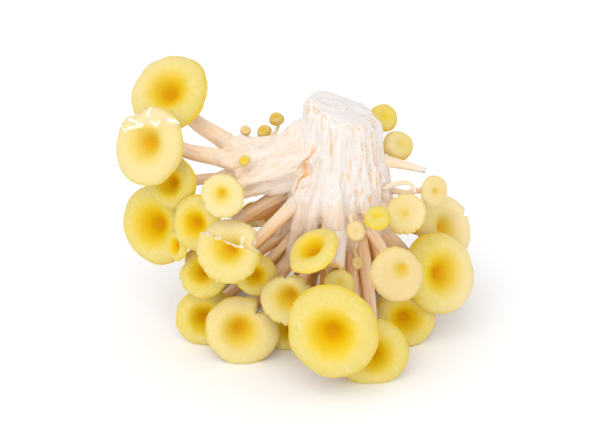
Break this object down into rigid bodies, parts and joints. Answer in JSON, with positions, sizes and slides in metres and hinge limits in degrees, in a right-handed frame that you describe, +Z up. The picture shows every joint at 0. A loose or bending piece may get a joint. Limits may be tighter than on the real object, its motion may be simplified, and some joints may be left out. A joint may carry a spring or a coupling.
{
  "type": "golden oyster mushroom cluster",
  "caption": "Cut cluster of golden oyster mushrooms lying on its caps, pale butt up, with curved stems fanning out to gilled yellow funnel caps.",
  "frame": {"origin": "on the surface that the cluster lies on, under the middle of its box", "axes": "+Z up, towards the cut butt; -Y towards the side with most caps; +X to the right of someone who faces that side, along the cluster's width"},
  "size_m": [0.1644, 0.116, 0.1237],
  "materials": {
    "butt_flesh": "fresh mushroom flesh: pinkish cream, fibrous, with orange-brown streaks and a white torn cut, matt and slightly translucent",
    "cap_yellow": "fresh mushroom cap: lemon yellow skin, golden orange throat, pale cream margin and gills, satin",
    "cap_pale": "fresh mushroom cap: pale straw skin, small orange pit, cream margin and gills, satin"
  },
  "bodies": {
    "root": {"butt_and_stems": "butt_flesh", "cap_top_left": "cap_yellow", "cap_torn_left": "cap_yellow", "cap_behind_torn": "cap_yellow", "cap_pale_left": "cap_pale", "cap_left_large": "cap_yellow", "cap_left_middle": "cap_yellow", "cap_left_lobe": "cap_yellow", "cap_split_fan": "cap_yellow", "cap_lower_left_torn": "cap_yellow", "cap_front_left_outer": "cap_yellow", "cap_front_left": "cap_yellow", "cap_front_low": "cap_yellow", "cap_ragged": "cap_yellow", "cap_front_largest": "cap_yellow", "cap_front_right": "cap_yellow", "cap_right_low": "cap_yellow", "cap_pale_right": "cap_pale", "cap_behind_fan": "cap_yellow", "cap_behind_largest": "cap_yellow", "cap_bright_oval": "cap_yellow", "cap_bud_front": "cap_yellow", "cap_bud_deep": "cap_yellow", "cap_small_oval": "cap_yellow", "cap_shell_right": "cap_pale", "cap_right_large": "cap_yellow", "cap_right_split": "cap_yellow", "cap_small_right": "cap_pale", "cap_bud_right_high": "cap_yellow", "cap_bud_right": "cap_yellow", "cap_pin_back_high": "cap_yellow", "cap_pin_back_low": "cap_yellow", "cap_pin_shoulder": "cap_yellow", "cap_pin_bright": "cap_yellow", "cap_back_left_low": "cap_yellow", "cap_back_centre": "cap_yellow", "cap_back_right_low": "cap_yellow", "cap_back_left": "cap_yellow", "cap_back_high": "cap_yellow", "cap_back_right": "cap_pale", "cap_back_top": "cap_pale", "cap_back_middle": "cap_yellow", "cap_back_small": "cap_yellow", "cap_back_bud": "cap_yellow", "cap_back_far_right": "cap_yellow"}
  },
  "joints": []
}
